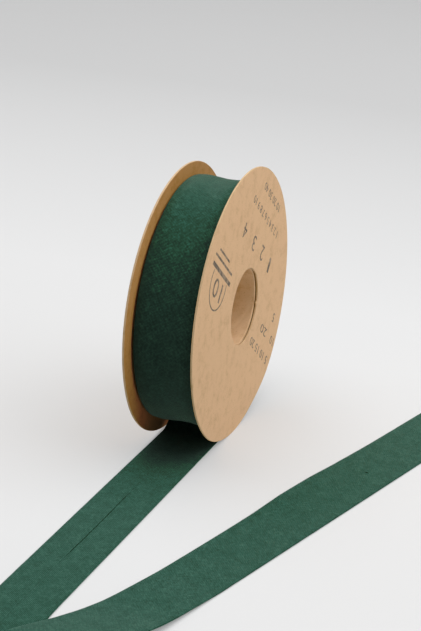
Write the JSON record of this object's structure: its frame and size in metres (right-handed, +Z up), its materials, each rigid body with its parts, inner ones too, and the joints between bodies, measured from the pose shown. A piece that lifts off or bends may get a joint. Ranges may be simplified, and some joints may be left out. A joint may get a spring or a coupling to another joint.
{
  "type": "card reel of cotton bias binding with its free end laid out",
  "caption": "Flanged card reel wound with folded cotton bias tape; the free end runs out, turns over in a soft loop and lies back beside the reel.",
  "frame": {"origin": "middle of the whole object's footprint, on the surface that it stands on", "axes": "+Z up, +X along the reel's axis towards the flange that faces forward, -Y the way the free end runs out"},
  "size_m": [0.1, 0.249, 0.0919],
  "materials": {
    "kraft_card": "matt unbleached kraft board",
    "core_card": "matt spiral-wound card tube",
    "cotton_tape": "plain-woven dark green cotton, cut on the bias and pressed"
  },
  "bodies": {
    "root": {"near_flange": "kraft_card", "far_flange": "kraft_card", "core_tube": "core_card", "wound_tape": "cotton_tape", "tape_end": "cotton_tape"}
  },
  "joints": []
}
